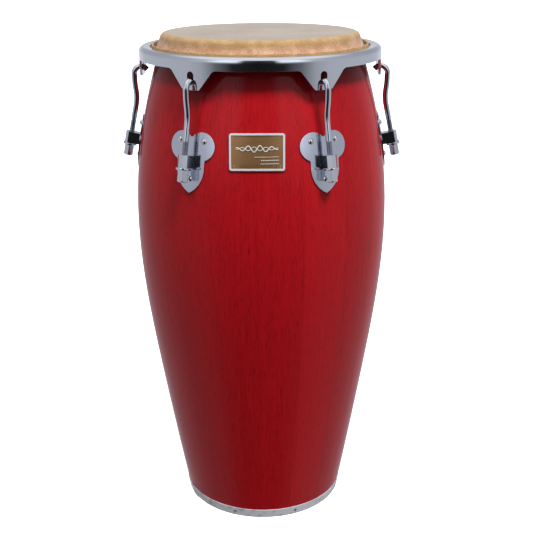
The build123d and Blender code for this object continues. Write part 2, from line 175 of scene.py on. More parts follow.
def oak(name, dark, middle, light, glue, shader_inputs):
    """Oak in three tones of one colour, with a fine line where two staves are glued."""
    material, shader = finish(name, shader_inputs)
    pores, bands, mottle, tone, edge = oak_grain(material)
    streak = add(material, "MapRange", {0: bands, 1: 0.25, 2: 0.75})
    body = add(
        material,
        "Mix",
        {"Factor": streak.outputs[0], "A": linear(middle), "B": linear(light)},
        data_type="RGBA",
    )
    cloud = add(material, "MapRange", {0: mottle, 1: 0.35, 2: 0.7, 3: 0.0, 4: 0.45})
    clouded = add(
        material,
        "Mix",
        {"Factor": cloud.outputs[0], "A": body.outputs["Result"], "B": linear(middle)},
        data_type="RGBA",
    )
    fleck = add(material, "MapRange", {0: pores, 1: 0.54, 2: 0.70, 3: 0.0, 4: 0.60})
    flecked = add(
        material,
        "Mix",
        {"Factor": fleck.outputs[0], "A": clouded.outputs["Result"], "B": linear(dark)},
        data_type="RGBA",
    )
    bright = add(material, "MapRange", {0: tone, 3: 0.90, 4: 1.10})
    toned = add(
        material,
        "HueSaturation",
        {"Value": bright.outputs[0], "Color": flecked.outputs["Result"]},
    )
    line = add(material, "MapRange", {0: edge, 1: 0.4965, 2: 0.4995, 3: 0.0, 4: glue})
    lined = add(
        material,
        "Mix",
        {"Factor": line.outputs[0], "A": toned.outputs["Color"], "B": linear(dark)},
        data_type="RGBA",
    )
    feed(material, shader, "Base Color", lined.outputs["Result"])
    return material


# Red-stained oak under gloss lacquer: a clear coat sharp enough to mirror the studio, over
# wood that scatters a little.
lacquered_oak = oak(
    "lacquered red oak",
    "#5e0609",
    "#9e0e16",
    "#b0131b",
    0.45,
    {
        "Roughness": 0.5,
        "Specular IOR Level": 0.1,
        "Coat Weight": 0.45,
        "Coat Roughness": 0.07,
        "Coat IOR": 1.32,
    },
)
# Bare oak, sanded and sealed: matt, pale brown, with open pores.
bare_oak = oak(
    "sealed bare oak", "#6b4a2c", "#a88258", "#c3a076", 0.8, {"Roughness": 0.7}
)


def piece(bm, name, body, finishes, replaced, sharp=38):
    """The mesh as a finished piece: it rides on a body and stands for CAD nodes."""
    mesh = bpy.data.meshes.new(name)
    bm.to_mesh(mesh)
    bm.free()
    for material in finishes:
        mesh.materials.append(material)
    mesh.shade_smooth()
    mesh.set_sharp_from_angle(angle=math.radians(sharp))
    made = bpy.data.objects.new(name, mesh)
    bpy.context.scene.collection.objects.link(made)
    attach(made, body)
    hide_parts(*replaced)
    return made


def chain(bm, points, closed=False):
    """Edges that join points in turn. Returns the edges."""
    verts = [bm.verts.new(p) for p in points]
    pairs = list(zip(verts, verts[1:] + verts[:1]))
    return [bm.edges.new(pair) for pair in (pairs if closed else pairs[:-1])]


def spin(bm, edges, angle, steps, center=(0, 0, 0), axis=(0, 0, 1)):
    """Turns a line round an axis into a surface, and closes a full turn on itself."""
    verts = {v for e in edges for v in e.verts}
    whole = abs(angle - math.tau) < 1e-6
    made = bmesh.ops.spin(
        bm,
        geom=[*verts, *edges],
        cent=center,
        axis=axis,
        angle=angle,
        steps=steps,
        use_merge=whole,
    )
    return made["geom_last"]


def round_edges(bm, edges, offset, segments):
    bmesh.ops.bevel(
        bm,
        geom=edges,
        offset=offset,
        segments=segments,
        profile=0.5,
        affect="EDGES",
        material=-1,
    )


def turned_normals(mesh):
    """Gives each corner of a turned surface the normal that it has on the whole barrel, so
    that the shine runs on across the glue lines."""
    normals = []
    for corner, normal in zip(mesh.loops, mesh.corner_normals):
        place = mesh.vertices[corner.vertex_index].co
        radial = Vector((place.x, place.y, 0)).normalized()
        level = Vector((normal.vector.x, normal.vector.y, 0))
        turned = abs(level.normalized().dot(radial)) > 0.99
        if turned:
            level = radial * math.copysign(level.length, level.dot(radial))
        normals.append(Vector((level.x, level.y, normal.vector.z)).normalized())
    mesh.normals_split_custom_set(normals)


heights = np.linspace(stave_bottom, crown, 41)
outline = [on_shell(0, h) for h in heights]
crown_slope = shell_slope(crown)
rim_of_stave = outline[-1] + Vector((crown_slope, 0, 1)) * bearing_edge_depth
inward = Vector((stave_wall, 0, 0))
stave_line = [*outline, rim_of_stave, rim_of_stave - inward]
stave_line += [p - inward for p in reversed(outline)]

for index in range(stave_count):
    bm = bmesh.new()
    first = chain(bm, stave_line, closed=True)
    bmesh.ops.contextual_create(bm, geom=first)
    spin(bm, first, stave_angle, 12)
    bmesh.ops.holes_fill(bm, edges=[e for e in bm.edges if e.is_boundary], sides=0)
    bmesh.ops.recalc_face_normals(bm, faces=bm.faces)
    lip = [
        e
        for e in bm.edges
        if all((v.co - Vector((0, 0, v.co.z))).length > rim_of_stave.x - 1e-5 for v in e.verts)
        and all(abs(v.co.z - stave_top) < 1e-5 for v in e.verts)
    ]
    round_edges(bm, lip, bearing_edge_bevel, 5)
    foot = [
        e
        for e in bm.edges
        if all(v.co.z < 1e-5 for v in e.verts)
        and abs(e.verts[0].co.xy.length - e.verts[1].co.xy.length) < 1e-5
    ]
    round_edges(bm, foot, stave_foot_bevel, 2)
    bm.normal_update()
    for face in bm.faces:
        middle = face.calc_center_median()
        faces_out = face.normal.dot(Vector((middle.x, middle.y, 0)).normalized()) > 0.4
        face.material_index = 0 if faces_out else 1
    turn = lug_turn(0) + stave_angle * index - stave_angle / 2
    bmesh.ops.rotate(bm, verts=bm.verts, matrix=Matrix.Rotation(turn, 3, "Z"))
    node = f"stave_{index + 1:02d}"
    stave = piece(
        bm, f"oak_{node}", "shell",
        [lacquered_oak, bare_oak], [node],
    )
    turned_normals(stave.data)

# ---- Foot band and nails ---------------------------------------------------------------
# A strip of aluminium is drawn round the foot, so that the drum can be stood and dragged
# on a hard floor without splitting its staves. Its end laps over its beginning by a few
# degrees, and eight round-headed steel nails hold it.

band_bottom, band_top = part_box("foot_band")[0].z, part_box("foot_band")[1].z
band_thickness = 0.0008
band_lap = math.radians(6)
band_lap_run = math.radians(5)
band_lap_turn = front - math.radians(60)
band_columns = 246
band_floor_gap = 0.0003
band_lap_gap = 0.02
band_edge_round = 0.0002
brush_line = Vector((0.016, 0.016, 0.0004))
scuff_size = 0.011

# Milled aluminium, dulled by handling: bright, brushed along the strip, with dark scuffs.
foot_aluminium, shader = finish(
    "milled foot band aluminium", {"Metallic": 0.12, "Roughness": 0.42}
)
place = add(foot_aluminium, "TexCoord").outputs["Object"]
brush_place = add(
    foot_aluminium, "Mapping", {"Vector": place, "Scale": [1 / size for size in brush_line]}
)
brush = add(foot_aluminium, "TexNoise", {"Vector": brush_place.outputs[0], "Scale": 1.0})
scuffs = add(
    foot_aluminium, "TexNoise", {"Vector": place, "Scale": 1 / scuff_size, "Detail": 4}
)
scuffed = add(foot_aluminium, "MapRange", {0: scuffs.outputs["Fac"], 1: 0.52, 2: 0.72})
silver = add(
    foot_aluminium,
    "Mix",
    {"Factor": scuffed.outputs[0], "A": linear("#cfd2d7"), "B": linear("#a2a5aa")},
    data_type="RGBA",
)
feed(foot_aluminium, shader, "Base Color", silver.outputs["Result"])
brushed = add(
    foot_aluminium,
    "Bump",
    {"Height": brush.outputs["Fac"], "Strength": 0.25, "Distance": 0.0002},
)
feed(foot_aluminium, shader, "Normal", brushed.outputs[0])


def add_modifier(made, kind, **settings):
    modifier = made.modifiers.new(kind.title(), kind)
    for name, value in settings.items():
        setattr(modifier, name, value)


def soften(made, width, segments=3, limit=35):
    """Rounds a piece's edges a little, as polishing or tumbling does."""
    add_modifier(
        made,
        "BEVEL",
        width=width,
        segments=segments,
        limit_method="ANGLE",
        angle_limit=math.radians(limit),
        harden_normals=True,
    )


bm = bmesh.new()
bmesh.ops.create_grid(bm, x_segments=band_columns, y_segments=3, size=0.5)
for v in bm.verts:
    share = v.co.x + 0.5
    turn = band_lap_turn - band_lap / 2 + share * (math.tau + band_lap)
    over = min(max((share * (math.tau + band_lap) - math.tau + band_lap_run) / band_lap_run, 0), 1)
    lift = (1 + band_lap_gap) * band_thickness * over * over * (3 - 2 * over)
    height = band_bottom + (v.co.y + 0.5) * (band_top - band_bottom)
    v.co = on_shell(turn, max(height, band_floor_gap), lift)
bmesh.ops.recalc_face_normals(bm, faces=bm.faces)
if sum(f.normal.dot(f.calc_center_median()) for f in bm.faces) < 0:
    bmesh.ops.reverse_faces(bm, faces=bm.faces)
band = piece(
    bm, "foot_strip", "shell", [foot_aluminium], ["foot_band"]
)
add_modifier(band, "SOLIDIFY", thickness=band_thickness, offset=1.0, use_even_offset=True)
soften(band, band_edge_round, 2)

def marked_metal(name, roughness, dark, light, mark, detail=2, dent=0.0):
    """A metal in two close tones, which change from mark to mark. Deep marks dent it too."""
    material, shader = finish(name, {"Metallic": 1.0, "Roughness": roughness})
    place = add(material, "TexCoord").outputs["Object"]
    marks = add(
        material, "TexNoise", {"Vector": place, "Scale": 1 / mark, "Detail": detail}
    ).outputs["Fac"]
    tone = add(
        material,
        "Mix",
        {"Factor": marks, "A": linear(dark), "B": linear(light)},
        data_type="RGBA",
    )
    feed(material, shader, "Base Color", tone.outputs["Result"])
    if dent:
        dented = add(material, "Bump", {"Height": marks, "Strength": 0.3, "Distance": dent})
        feed(material, shader, "Normal", dented.outputs[0])
    return material


# Steel nail heads, bright and slightly dented by the hammer.
nail_steel = marked_metal(
    "hammered nail steel", 0.3, "#8f9196", "#d4d6d9", mark=0.0011, dent=0.0002
)


def give(node, material):
    """A CAD node keeps its own shape and takes a finish."""
    mesh = frame["nodes"][node].data
    mesh.materials.clear()
    mesh.materials.append(material)


give("foot_band_nails", nail_steel)

# ---- Hide head -------------------------------------------------------------------------
# A soaked cowhide is lapped round a steel flesh hoop, pulled down over the bearing edge
# and left to dry there. The flat top dries pale, the pulled collar turns pink and brown,
# and the trimmed edge stands up stiff and crinkled inside the rim.

hide_thickness = 0.002
hide_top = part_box("drumhead")[1].z
hoop_low, hoop_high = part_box("flesh_hoop")
hoop_wire = (hoop_high.z - hoop_low.z) / 2
hoop_radius = hoop_high.x - hoop_wire
hoop_height = (hoop_high.z + hoop_low.z) / 2
hide_flat_radius = 0.1313
hide_edge_round = 0.008
hide_columns = 360
collar_bow = 0.0008
flap_foot = 0.1517
flap_lean = 0.0017
flap_rise = 0.0072
flap_gap = 0.0001
hoop_hide_gap = 0.00005
hide_squeeze = 0.98
# how far each part of the hide wanders as it dries
top_slack = 0.00025
collar_pleat, collar_slack = 0.00045, 0.0003
flap_crinkle, flap_curl = 0.0009, 0.0007
flap_ragged, flap_notch = 0.0013, 0.0006
# the radii between which one tone of the hide gives way to the next
ring_tone = (hide_flat_radius - 0.001, hide_flat_radius + 0.0025)
# from these radii outward the hide takes the darker golden tone: its lap is amber, and the band is
# also painted shade in the groove between the head and the rim
lap_tone_and_shade = (0.1462, 0.1485)


def arc(center, radius, start, end, steps):
    """Points of an arc in the XZ plane, from one angle to another."""
    angles = np.linspace(start, end, steps)
    return [center + Vector((math.cos(a), 0, math.sin(a))) * radius for a in angles]


def run(start, end, steps, bow=0.0):
    """Points from one place to another, hollowed by bow at the middle."""
    points = []
    for share in np.linspace(0, 1, steps):
        sag = bow * 4 * share * (1 - share)
        points.append(start.lerp(end, share) - Vector((sag, 0, sag)))
    return points


middle_height = hide_top - hide_thickness / 2
lean = math.atan(-shell_slope(crown))
bend_center = Vector((hide_flat_radius, 0, middle_height - hide_edge_round))
over_edge = arc(bend_center, hide_edge_round, math.pi / 2, lean, 9)
hoop_center = Vector((hoop_radius, 0, hoop_height))
lap_radius = hoop_wire + hoop_hide_gap + hide_thickness / 2
under_hoop = arc(hoop_center, lap_radius, math.pi, 2.5 * math.pi, 20)
flap_start = Vector((flap_foot, 0, under_hoop[-1].z + flap_gap))
flap_end = flap_start + Vector((-flap_lean, 0, flap_rise))
flat = [Vector((r, 0, middle_height)) for r in np.linspace(0, hide_flat_radius, 12)]
collar = run(over_edge[-1], under_hoop[0], 15, collar_bow)
flap = run(flap_start, flap_end, 9)
hide_line = [*flat, *over_edge[1:], *collar[1:], *under_hoop[1:], *flap]
collar_from = len(flat) + len(over_edge) - 1
flap_from = len(hide_line) - len(flap)

bm = bmesh.new()
rows = bm.verts.layers.int.new("row")
line = chain(bm, hide_line)
for number, vert in enumerate(bm.verts):
    vert[rows] = number
spin(bm, line, math.tau, hide_columns)
bmesh.ops.remove_doubles(bm, verts=bm.verts, dist=1e-6)
for vert in bm.verts:
    turn = math.atan2(vert.co.y, vert.co.x)
    around = Vector((math.cos(turn), math.sin(turn), 0))
    row = vert[rows]
    if row >= flap_from:
        share = (row - flap_from) / (len(flap) - 1)
        curl = noise.noise(around * 9.0 + Vector((0, 0, 5)))
        crinkle = noise.noise(around * 34.0) + 0.5 * noise.noise(around * 80.0)
        ragged = noise.noise(around * 21.0 + Vector((0, 0, 9)))
        vert.co += around * (flap_crinkle * crinkle + flap_curl * curl) * share
        vert.co.z += (flap_ragged * ragged + flap_notch * crinkle) * share
    elif collar_from <= row < collar_from + len(collar) - 2:
        share = (row - collar_from) / len(collar)
        pleat = noise.noise(around * 26.0 + Vector((0, 0, vert.co.z * 25)))
        slack = noise.noise(around * 7.0)
        vert.co += around * (collar_pleat * pleat + collar_slack * slack) * share
    elif row < len(flat):
        soft = noise.noise(vert.co * 16.0 + Vector((3, 1, 0)))
        inside = 1 - vert.co.xy.length / hide_flat_radius
        vert.co.z += top_slack * soft * min(1.0, 8 * inside)
bmesh.ops.recalc_face_normals(bm, faces=bm.faces)
if min(bm.faces, key=lambda f: f.calc_center_median().xy.length).normal.z < 0:
    bmesh.ops.reverse_faces(bm, faces=bm.faces)

# Dried cowhide: waxy and slightly translucent, finely creased, lighter where it lies flat
# and amber where it was pulled or cut. The darker amber band from the lap outward, beside
# the rim, also stands for painted shade.
crease_drift = 0.038
hide_cloud = 0.09
hide_fibre = Vector((0.0024, 0.011, 0.0033))
hide_speckle = 0.0021
hide_blotch = 0.0165
natural_hide, shader = finish(
    "dried natural cowhide",
    {
        "Roughness": 0.46,
        "Subsurface Weight": 0.12,
        "Subsurface Radius": (0.004, 0.002, 0.001),
        "Subsurface Scale": 1.0,
        "Sheen Weight": 0.08,
    },
)
place = add(natural_hide, "TexCoord").outputs["Object"]
xyz = add(natural_hide, "SeparateXYZ", {0: place})
level = add(natural_hide, "Mapping", {"Vector": place, "Scale": (1, 1, 0)})
radius = add(natural_hide, "VectorMath", {0: level.outputs[0]}, operation="LENGTH")
soft = add(natural_hide, "TexNoise", {"Vector": place, "Scale": 1 / crease_drift, "Detail": 4})
wander = add(
    natural_hide, "MapRange", {0: soft.outputs["Fac"], 3: -0.0022, 4: 0.0022}
)
drift = add(
    natural_hide, "Math", {0: radius.outputs["Value"], 1: wander.outputs[0]}, operation="ADD"
)
cloud = add(natural_hide, "TexNoise", {"Vector": place, "Scale": 1 / hide_cloud, "Detail": 5})
clouded = add(natural_hide, "MapRange", {0: cloud.outputs["Fac"], 1: 0.38, 2: 0.66})
pale = add(
    natural_hide,
    "Mix",
    {"Factor": clouded.outputs[0], "A": linear("#9c9185"), "B": linear("#8f8378")},
    data_type="RGBA",
)
fibre_place = add(
    natural_hide, "Mapping", {"Vector": place, "Scale": [1 / size for size in hide_fibre]}
)
fibre = add(
    natural_hide, "TexNoise", {"Vector": fibre_place.outputs[0], "Scale": 1.0, "Detail": 4}
)
fibrous = add(natural_hide, "MapRange", {0: fibre.outputs["Fac"], 1: 0.4, 2: 0.75, 4: 0.35})
top_tone = add(
    natural_hide,
    "Mix",
    {
        "Factor": fibrous.outputs[0],
        "A": pale.outputs["Result"],
        "B": linear("#82745f"),
    },
    data_type="RGBA",
)
speckle = add(natural_hide, "TexNoise", {"Vector": place, "Scale": 1 / hide_speckle, "Detail": 4})
blotch = add(natural_hide, "TexNoise", {"Vector": place, "Scale": 1 / hide_blotch, "Detail": 3})
mottle = add(
    natural_hide,
    "Math",
    {0: speckle.outputs["Fac"], 1: blotch.outputs["Fac"]},
    operation="MULTIPLY",
)
mottled = add(natural_hide, "MapRange", {0: mottle.outputs[0], 1: 0.16, 2: 0.36})
pulled = add(
    natural_hide,
    "Mix",
    {"Factor": mottled.outputs[0], "A": linear("#ad7c5c"), "B": linear("#c9a78b")},
    data_type="RGBA",
)
golden = add(
    natural_hide,
    "Mix",
    {"Factor": mottled.outputs[0], "A": linear("#9a784b"), "B": linear("#ae9068")},
    data_type="RGBA",
)
collar_tone = (over_edge[-1].x + 0.0004, over_edge[-1].x + 0.0036)
tone = top_tone
# the last band, at the lap, is partly painted shade beside the rim
for (inner, outer), next_tone in (
    (ring_tone, golden),
    (collar_tone, pulled),
    (lap_tone_and_shade, golden),
):
    share = add(natural_hide, "MapRange", {0: drift.outputs[0], 1: inner, 2: outer})
    tone = add(
        natural_hide,
        "Mix",
        {
            "Factor": share.outputs[0],
            "A": tone.outputs["Result"],
            "B": next_tone.outputs["Result"],
        },
        data_type="RGBA",
    )
feed(natural_hide, shader, "Base Color", tone.outputs["Result"])
crease = add(
    natural_hide,
    "Bump",
    {"Height": mottle.outputs[0], "Strength": 0.35, "Distance": 0.0006},
)
grained = add(
    natural_hide,
    "Bump",
    {
        "Height": fibre.outputs["Fac"],
        "Strength": 0.2,
        "Distance": 0.0003,
        "Normal": crease.outputs[0],
    },
)
feed(natural_hide, shader, "Normal", grained.outputs[0])

hide = piece(
    bm, "hide_head", "shell", [natural_hide], ["drumhead"], sharp=70
)
add_modifier(hide, "SOLIDIFY", thickness=hide_thickness * hide_squeeze, offset=0.0)

# Drawn steel wire, oiled and gray, hidden in the lap of the hide.
hoop_steel = marked_metal("drawn hoop steel", 0.4, "#77797c", "#a3a5a8", mark=0.002)
give("flesh_hoop", hoop_steel)

# ---- Rim -------------------------------------------------------------------------------
# The rim is rolled and pressed from 3.6 mm steel plate: a broad rounded shoulder that
# hands can strike without harm, a straight skirt, and six ears, each punched for its hook.
# It is ground, polished and chromed all over, and the pull of the hooks holds it down.

rim_low, rim_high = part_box("rim")
rim_outer = rim_high.x
rim_wall = 0.0036
rim_lip = 0.154
rim_shoulder_fall = 0.0016
rim_corner_rise = 0.0008
rim_edge_round = 0.0009
rim_shoulder_tangent = 0.00776
ear_bottom = rim_low.z
skirt_bottom = ear_bottom + 0.0255
skirt_top = skirt_bottom + 0.0085
ear_root = 0.033
ear_root_tangent = 0.0043
ear_tip = 0.0125
ear_tip_tangent = 0.0024
ear_hole_half = 0.0048
ear_hole_low = ear_bottom + 0.0065
ear_hole_high = skirt_bottom - 0.002
columns_per_lug = 60
polish_smear = 0.026
polish_wave = 0.033
plating_patch = 0.07


def chrome(name, tone, dull, roughness, haze, metallic=1.0):
    """Bright plating: a mirror with the faint waves of hand polishing and a thin haze."""
    material, shader = finish(name, {"Metallic": metallic})
    place = add(material, "TexCoord").outputs["Object"]
    smear = add(material, "TexNoise", {"Vector": place, "Scale": 1 / polish_smear, "Detail": 5})
    hazy = add(
        material,
        "MapRange",
        {0: smear.outputs["Fac"], 1: 0.42, 2: 0.72, 3: roughness, 4: roughness + haze},
    )
    feed(material, shader, "Roughness", hazy.outputs[0])
    patch = add(material, "TexNoise", {"Vector": place, "Scale": 1 / plating_patch, "Detail": 3})
    shade = add(
        material,
        "Mix",
        {"Factor": patch.outputs["Fac"], "A": linear(tone), "B": linear(dull)},
        data_type="RGBA",
    )
    feed(material, shader, "Base Color", shade.outputs["Result"])
    wave = add(material, "TexNoise", {"Vector": place, "Scale": 1 / polish_wave, "Detail": 1})
    polish = add(
        material,
        "Bump",
        {"Height": wave.outputs["Fac"], "Strength": 0.12, "Distance": 0.0006},
    )
    feed(material, shader, "Normal", polish.outputs[0])
    return material


# Chromium over nickel on polished steel: cold, slightly blue, very bright.
rim_chrome = chrome("polished rim chrome", "#e2e5ec", "#d5d9e2", 0.06, 0.08)

corner_height = rim_high.z + rim_corner_rise
bm = bmesh.new()
shoulder = chain(
    bm,
    [
        (rim_lip, 0, corner_height - rim_shoulder_fall),
        (rim_outer, 0, corner_height),
        (rim_outer, 0, skirt_top),
    ],
)
spin(bm, shoulder, math.tau, columns_per_lug * lug_count)
corner = [
    e
    for e in bm.edges
    if all(v.co.z > corner_height - 1e-4 and v.co.xy.length > rim_outer - 1e-5 for v in e.verts)
]
round_edges(bm, corner, rim_shoulder_tangent, 9)

# Half of one ear and of the skirt beside it, laid out flat: x is the length round the rim.
flat_ear = bmesh.new()
half_lug = lug_angle / 2 * rim_outer
hole_round = ear_hole_half - 1e-5
corners = [
    (0, skirt_top, 0),
    (half_lug, skirt_top, 0),
    (half_lug, skirt_bottom, 0),
    (ear_root, skirt_bottom, ear_root_tangent),
    (ear_tip, ear_bottom, ear_tip_tangent),
    (0, ear_bottom, 0),
    (0, ear_hole_low, 0),
    (ear_hole_half, ear_hole_low, hole_round),
    (ear_hole_half, ear_hole_high, hole_round),
    (0, ear_hole_high, 0),
]
verts = [flat_ear.verts.new((x, 0, z)) for x, z, tangent in corners]
flat_ear.faces.new(verts)
for vert, (x, z, tangent) in zip(verts, corners):
    if tangent:
        bmesh.ops.bevel(
            flat_ear,
            geom=[vert],
            offset=tangent,
            segments=8,
            profile=0.5,
            affect="VERTICES",
            material=-1,
        )
for step in range(1, columns_per_lug // 2):
    bmesh.ops.bisect_plane(
        flat_ear,
        geom=[*flat_ear.verts, *flat_ear.edges, *flat_ear.faces],
        plane_co=(step * half_lug / (columns_per_lug // 2), 0, 0),
        plane_no=(1, 0, 0),
        dist=1e-7,
    )
bmesh.ops.mirror(
    flat_ear,
    geom=[*flat_ear.verts, *flat_ear.edges, *flat_ear.faces],
    axis="X",
    merge_dist=1e-6,
)
bmesh.ops.remove_doubles(flat_ear, verts=flat_ear.verts, dist=1e-6)
for v in flat_ear.verts:
    turn = lug_turn(0) + v.co.x / rim_outer
    v.co = Vector((rim_outer * math.cos(turn), rim_outer * math.sin(turn), v.co.z))
bmesh.ops.spin(
    flat_ear,
    geom=[*flat_ear.verts, *flat_ear.edges, *flat_ear.faces],
    cent=(0, 0, 0),
    axis=(0, 0, 1),
    angle=math.tau - lug_angle,
    steps=lug_count - 1,
    use_duplicate=True,
)
skirt = bpy.data.meshes.new("skirt")
flat_ear.to_mesh(skirt)
flat_ear.free()
bm.from_mesh(skirt)
bpy.data.meshes.remove(skirt)
bmesh.ops.remove_doubles(bm, verts=bm.verts, dist=2e-5)
bmesh.ops.recalc_face_normals(bm, faces=bm.faces)
if sum(f.normal.dot(f.calc_center_median()) for f in bm.faces) < 0:
    bmesh.ops.reverse_faces(bm, faces=bm.faces)
rim = piece(bm, "rolled_rim", "rim", [rim_chrome], ["rim"])
add_modifier(rim, "SOLIDIFY", thickness=rim_wall, offset=-1.0, use_even_offset=True)
soften(rim, rim_edge_round, 3, 50)

# ---- Side plates, brackets and their bolts ---------------------------------------------
# Each lug stands on a stamped steel plate, two lobes above and a leaf's point below,
# with three bolts through the shell to a backing plate inside. The bracket that carries
# the hook is a forged block with a faceted nose, welded to the plate before chroming.

# The rim's plating again, over a tumbled stamping that blurs it, over a smoother forging
# and, a little yellower, over the bolts' heads.
plate_chrome = chrome("tumbled plate chrome", "#d9dde8", "#c9cedb", 0.10, 0.12)
bracket_chrome = chrome("forged bracket chrome", "#e2e5ec", "#d3d7e0", 0.07, 0.06)
bolt_chrome = chrome("bolt head chrome", "#ebebea", "#dcdcda", 0.08, 0.06)
# Zinc plate on what stays inside the shell: dull gray with a cloudy bloom.
zinc_steel = marked_metal(
    "zinc plated steel", 0.38, "#9ea2a6", "#c8ccd2", mark=0.0083, detail=4
)

for index in range(1, lug_count + 1):
    for node, material, edge in (
        ("side_plate", plate_chrome, 0.0006),
        ("bracket", bracket_chrome, 0.0007),
        ("backing_plate", zinc_steel, 0.0004),
    ):
        give(f"{node}_{index}", material)
        made = frame["nodes"][f"{node}_{index}"]
        add_modifier(made, "WELD", merge_threshold=1e-6)
        soften(made, edge)
give("side_plate_bolt_nuts", zinc_steel)

lug_height = 0.562
plate_thickness = 0.002
bolt_spots = ((-0.0181, 0.0238), (0.0181, 0.0238), (0.0, -0.0254))
bolt_head_radius = 0.004
bolt_head_height = 0.0028
bolt_shank_radius = 0.0025
bolt_length = 0.0212
bolt_dome_radius = 0.0045
bolt_dome_edge = 0.5
bolt_end_chamfer = 0.0006

bm = bmesh.new()
for lug in range(lug_count):
    for across, up in bolt_spots:
        height = lug_height + up
        turn = lug_turn(lug) + across / shell_line(height)
        seat = on_shell(turn, height, plate_thickness)
        out = (on_shell(turn, height, 2 * plate_thickness) - seat).normalized()
        dome_center = Vector((0, 0, bolt_head_height - bolt_dome_radius))
        dome = arc(dome_center, bolt_dome_radius, math.pi / 2, bolt_dome_edge, 8)
        half = [
            Vector((0, 0, bolt_head_height)),
            *dome[1:],
            Vector((bolt_head_radius, 0, 0)),
            Vector((bolt_shank_radius, 0, 0)),
            Vector((bolt_shank_radius, 0, bolt_end_chamfer - bolt_length)),
            Vector((bolt_shank_radius - bolt_end_chamfer, 0, -bolt_length)),
            Vector((0, 0, -bolt_length)),
        ]
        before = set(bm.verts)
        spin(bm, chain(bm, half), math.tau, 24)
        fresh = [v for v in bm.verts if v not in before]
        bmesh.ops.transform(
            bm,
            matrix=Matrix.Translation(seat) @ out.to_track_quat("Z", "Y").to_matrix().to_4x4(),
            verts=fresh,
        )
bmesh.ops.remove_doubles(bm, verts=bm.verts, dist=1e-6)
bmesh.ops.recalc_face_normals(bm, faces=bm.faces)
piece(
    bm, "round_head_bolts", "shell", [bolt_chrome], ["side_plate_bolts"]
)

# ---- Hooks -----------------------------------------------------------------------------
# Each hook is an 8 mm steel rod with a rolled thread on its lower end. It runs up through
# its bracket, bends out in a slow S past the rim, and curls over into the ear's hole. It
# is chromed before the thread is chased clean.

rod_radius = 0.004
thread_radius = 0.0039
thread_pitch = 0.00125
thread_depth = 0.0007
thread_length = 0.05
hook_bend = 0.010
hook_curl = math.radians(135)
hook_tail = 0.0024
jog_low_drop = 0.0344
jog_high_drop = 0.0124
jog_low_round = 0.060
jog_high_round = 0.090
rod_steps = 24
rod_past_bracket = 0.016
hook_tip_round = 0.0009
# shares of the pitch at which the thread's profile rises, levels off and falls back
thread_rise, thread_crest, thread_fall = 0.25, 0.2, 0.65

# The rods are polished before they are bent, so they mirror most sharply of all.
rod_chrome = chrome("bent rod chrome", "#e2e5ec", "#d0d4dd", 0.05, 0.06)
# The chased thread holds oil and dust in its roots, so it looks a little darker.
thread_chrome = chrome("chased thread chrome", "#c9cdd6", "#a9adb6", 0.2, 0.1)

# the second lug stands on +X, so its joints give the rod's line in the XZ plane
nut_joint = next(j for j in frame["joints"] if j["name"] == "nut_2_turn")
rod_up = Vector(nut_joint["axis"]).normalized()
nut_top = Vector(nut_joint["pos_m"])
hook_center_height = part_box("hook_2")[1].z - hook_bend - rod_radius
hook_leg = 0.1792


def on_rod(height):
    """The point of the straight rod's axis at a height."""
    return nut_top + rod_up * ((height - nut_top.z) / rod_up.z)


def along_rod(place):
    """The matrix that stands what was made on the Z axis on the rod's axis, at a place."""
    return Matrix.Translation(place) @ rod_up.to_track_quat("Z", "Y").to_matrix().to_4x4()


def tangent_length(before, after, radius):
    return radius * math.tan(before.angle(after) / 2)


rod_end = nut_top - rod_up * rod_past_bracket
thread_top = rod_end + rod_up * thread_length
jog_low = on_rod(hook_center_height - jog_low_drop)
jog_high = Vector((hook_leg, 0, hook_center_height - jog_high_drop))
leg_top = Vector((hook_leg, 0, hook_center_height))
climb = (jog_high - jog_low).normalized()
plumb = Vector((0, 0, 1))
low_tangent = tangent_length(rod_up, climb, jog_low_round)
high_tangent = tangent_length(climb, plumb, jog_high_round)


def moving_end(made):
    """Of what was made, the edges of the ring at the rod's moving end."""
    return [g for g in made if isinstance(g, bmesh.types.BMEdge) and g.is_boundary]


def bend(bm, edges, place, heading, radius, angle, steps):
    """Bends the rod's end on in the XZ plane: towards the drum's axis if angle is over 0."""
    side = Vector((-heading.z, 0, heading.x)) * math.copysign(1, angle)
    center = place + side * radius
    return moving_end(spin(bm, edges, angle, steps, center=center, axis=(0, -1, 0)))


def draw_on(bm, edges, travel):
    """Carries the rod's end on, straight."""
    made = bmesh.ops.extrude_edge_only(bm, edges=edges)["geom"]
    bmesh.ops.translate(
        bm, vec=travel, verts=[g for g in made if isinstance(g, bmesh.types.BMVert)]
    )
    return moving_end(made)


def rod_start(bm, place):
    ring = bmesh.ops.create_circle(bm, segments=rod_steps, radius=rod_radius)["verts"]
    bmesh.ops.transform(bm, matrix=along_rod(place), verts=ring)
    return [e for e in bm.edges if all(v in ring for v in e.verts)]


